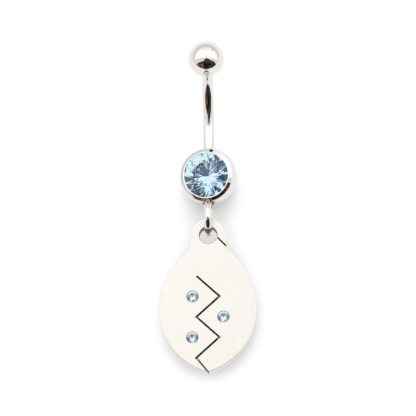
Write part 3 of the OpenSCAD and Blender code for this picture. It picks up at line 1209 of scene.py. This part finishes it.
@dataclass
class Studio:
    """The white paper, the soft light round the part and the camera at the picture's angle."""

    ball: StoneBall
    azimuth: float = 3.0
    elevation: float = -20.0
    distance: float = 0.9
    frame_width: float = 58.2 * MM
    roll: float = 0.2
    view_drop: float = 4.39 * MM
    view_left: float = 0.07 * MM
    sensor: float = 36.0
    wall_gap: float = 0.5 * MM
    wall_reach: float = 0.35
    floor_reach: float = 2.0
    floor_level: float = -0.42
    light: float = 1.45
    walls: tuple[tuple[float, Colour], ...] = (
        (0.0, (0.54, 0.53, 0.52)),
        (0.14, (0.64, 0.63, 0.615)),
        (0.42, (0.94, 0.93, 0.91)),
        (0.6, (1, 1, 1)),
    )

    def __post_init__(self) -> None:
        """Works out the camera's axes."""
        azimuth, elevation = math.radians(self.azimuth), math.radians(self.elevation)
        self.back = Vector((math.sin(azimuth) * math.cos(elevation),
                            -math.cos(azimuth) * math.cos(elevation), math.sin(elevation)))
        self.right = Vector((0, 0, 1)).cross(self.back).normalized()
        self.up = self.back.cross(self.right)

    def camera(self) -> None:
        """Sets the camera."""
        target = self.ball.centre - self.view_drop * self.up - self.view_left * self.right
        data = bpy.data.cameras.new("camera")
        data.sensor_width = self.sensor
        data.lens = self.sensor / 2 / (self.frame_width / 2 / self.distance)
        data.clip_start, data.clip_end = 0.01, 10
        camera = bpy.data.objects.new("camera", data)
        camera.location = target + self.distance * self.back
        turn = Matrix((self.right, self.up, self.back)).transposed()
        turn = turn @ Matrix.Rotation(math.radians(self.roll), 3, "Z")
        camera.rotation_mode = "QUATERNION"
        camera.rotation_quaternion = turn.to_quaternion()
        bpy.context.scene.collection.objects.link(camera)
        bpy.context.scene.camera = camera

    def sheet(self, name: str, corners: Sequence[Sequence[float]], paper: Finish) -> None:
        """Lays one flat sheet of paper.

        Args:
            name: The sheet's name.
            corners: Its corners, anticlockwise from its front.
            paper: Its finish.
        """
        build = MeshBuild(name)
        build.face(build.ring(corners))
        build.make(corner=Corner.FACETED, finishes=(paper,))

    def paper(self) -> None:
        """Hangs the paper behind the part and lays the floor below."""
        back = self.ball.centre.y + self.ball.diameter / 2 + self.wall_gap
        half, wide = self.wall_reach, self.floor_reach
        low, high = self.floor_level, self.wall_reach
        self.sheet("backdrop", [(-half, back, low), (half, back, low), (half, back, high),
                                (-half, back, high)], StudioPaper("backdrop_paper"))
        self.sheet("floor", [(-wide, -wide, low), (wide, -wide, low), (wide, wide, low),
                             (-wide, wide, low)],
                   StudioPaper("floor_paper", shade=0.4, glow=0.5))

    def mirrored(self, across: float, rise: float, reach: float) -> Vector:
        """Gives the place that a mirror ball shows at a spot of its face.

        Args:
            across: The spot's distance to the right, in shares of the ball's radius.
            rise: Its distance up.
            reach: The place's distance from the ball.

        Returns:
            The place.
        """
        facing = math.sqrt(1 - across ** 2 - rise ** 2)
        normal = across * self.right + rise * self.up + facing * self.back
        return self.ball.centre + reach * (2 * facing * normal - self.back)

    def card(self, name: str, shown_in: ShownIn, columns: Sequence[tuple[float, float, float]],
             finish: Callable[[float, float], int], finishes: Sequence[Finish],
             reach: float = 0.2, steps: int = 12) -> None:
        """Hangs a card that only metal or only the stones show.

        Args:
            name: The card's name.
            shown_in: What it is seen in.
            columns: Its outline in a mirror ball: across, low and high of each column.
            finish: Gives the place of a cell's finish from its spot across and up.
            finishes: The card's finishes.
            reach: Its distance from the ball.
            steps: Number of cells in each column.
        """
        build = MeshBuild(name)
        rings = []
        for across, low, high in columns:
            rises = [low + (high - low) * i / steps for i in range(steps + 1)]
            rings.append((across, rises, build.ring(self.mirrored(across, rise, reach)
                                                    for rise in rises)))
        for (across, rises, one), (_, _, other) in zip(rings, rings[1:]):
            for i in range(steps):
                build.face([one[i], other[i], other[i + 1], one[i + 1]],
                           finish(across, rises[i]))
        card = build.make(corner=Corner.FACETED, finishes=finishes)
        card.visible_camera = False
        card.visible_diffuse = False
        card.visible_shadow = False
        card.visible_glossy = shown_in is ShownIn.METAL
        card.visible_transmission = shown_in is ShownIn.STONES

    def patch(self, name: str, shown_in: ShownIn, spot: tuple[float, float],
              half: tuple[float, float], finish: Finish, reach: float = 0.18) -> None:
        """Hangs a small oval card.

        Args:
            name: The card's name.
            shown_in: What it is seen in.
            spot: Its middle in a mirror ball, across and up.
            half: Half its width and half its height there.
            finish: Its finish.
            reach: Its distance from the ball.
        """
        turns = [math.pi * i / 10 for i in range(11)]
        columns = [(spot[0] - half[0] * math.cos(t), spot[1] - half[1] * math.sin(t),
                    spot[1] + half[1] * math.sin(t)) for t in turns]
        self.card(name, shown_in, columns, lambda across, rise: 0, (finish,), reach, 2)

    def opening(self) -> None:
        """Places the dim room past the studio's opening."""
        crest = [(-0.57, -0.27), (-0.50, -0.22), (-0.42, -0.15), (-0.34, -0.14), (-0.24, -0.09),
                 (-0.16, -0.10), (-0.10, 0.00), (-0.03, 0.06), (0.03, 0.08), (0.09, 0.04),
                 (0.14, 0.05), (0.20, -0.02), (0.28, -0.03), (0.36, -0.07), (0.44, -0.10),
                 (0.50, -0.17), (0.57, -0.29)]
        dip, bow = 0.162, 0.712
        columns = [(x, dip - math.sqrt(bow ** 2 - x ** 2), top) for x, top in crest]

        def part(across: float, rise: float) -> int:
            """Gives 1 for the warm corner, 2 for the golden one and 0 for the dark."""
            if across < -0.22 and rise < -0.26:
                return 1
            if across > 0.10 and rise < -0.12:
                return 2
            return 0

        self.card("dim_opening", ShownIn.METAL, columns, part,
                  (DARK_ROOM, WARM_ROOM, GOLDEN_ROOM))
        # The stones see the opening as a navy card: a painted reflection in their dark facets.
        self.card("stone_opening", ShownIn.STONES, columns, lambda across, rise: 0, (NAVY_STONE_REFLECTION,))

    def lamps(self) -> None:
        """Places the coloured lights that single facets and the steel's edges show."""
        stones, metal = ShownIn.STONES, ShownIn.METAL
        # Blue cards that only the stones show: painted reflections in their blue facets.
        self.patch("blue_middle", stones, (-0.05, 0.04), (0.035, 0.06), BLUE_STONE_REFLECTION)
        self.patch("blue_high", stones, (0.0, 0.215), (0.06, 0.025), BLUE_STONE_REFLECTION)
        self.patch("blue_low", stones, (-0.13, -0.11), (0.03, 0.03), BLUE_STONE_REFLECTION)
        self.patch("blue_left", stones, (-0.21, -0.19), (0.04, 0.04), BLUE_STONE_REFLECTION)
        self.patch("yellow_left", stones, (-0.305, 0.10), (0.025, 0.015), YELLOW_LAMP)
        self.patch("violet_left", stones, (-0.26, 0.11), (0.01, 0.01), VIOLET_LAMP)
        self.patch("low_gap", metal, (0.0, -0.64), (0.055, 0.14), WARM_ROOM)
        self.patch("high_gap", metal, (0.03, 0.18), (0.012, 0.16), DARK_ROOM)
        self.patch("gold_strip", metal, (-0.03, 0.54), (0.17, 0.014), GOLD_LAMP, 0.6)
        self.patch("red_speck", metal, (0.335, 0.505), (0.05, 0.035), RED_LAMP, 0.6)

    def world(self) -> None:
        """Surrounds the part with soft light, full in front and greyer at the table's edge."""
        world = bpy.data.worlds.new("soft_light")
        world.use_nodes = True
        bench = NodeBench(world.node_tree)
        facing = bench.node("VectorMath", operation="DOT_PRODUCT")
        facing.inputs[1].default_value = self.back
        bench.join(bench.node("TexCoord").outputs["Generated"], facing.inputs[0])
        glow = bench.node("Background", Strength=self.light)
        bench.join(bench.ramp(facing.outputs["Value"], self.walls), glow.inputs["Color"])
        bench.finish(glow.outputs["Background"], "OutputWorld")
        bpy.context.scene.world = world
        bpy.context.scene.view_settings.view_transform = "Standard"

    def set_up(self) -> None:
        """Builds the whole studio."""
        self.camera()
        self.paper()
        self.opening()
        self.lamps()
        self.world()


def main() -> None:
    """Builds and dresses the ring, and sets up its studio."""
    logging.basicConfig(level=logging.INFO, format="%(name)s: %(message)s")
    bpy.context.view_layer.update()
    bar = CurvedBar()
    ball = StoneBall(bar)
    ring = HangingRing(ball)
    bar.assemble()
    TopBall(bar).assemble()
    ball.assemble()
    ring.assemble()
    LeafPlate(ring).assemble()
    Studio(ball).set_up()


if __name__ == "__main__":
    main()
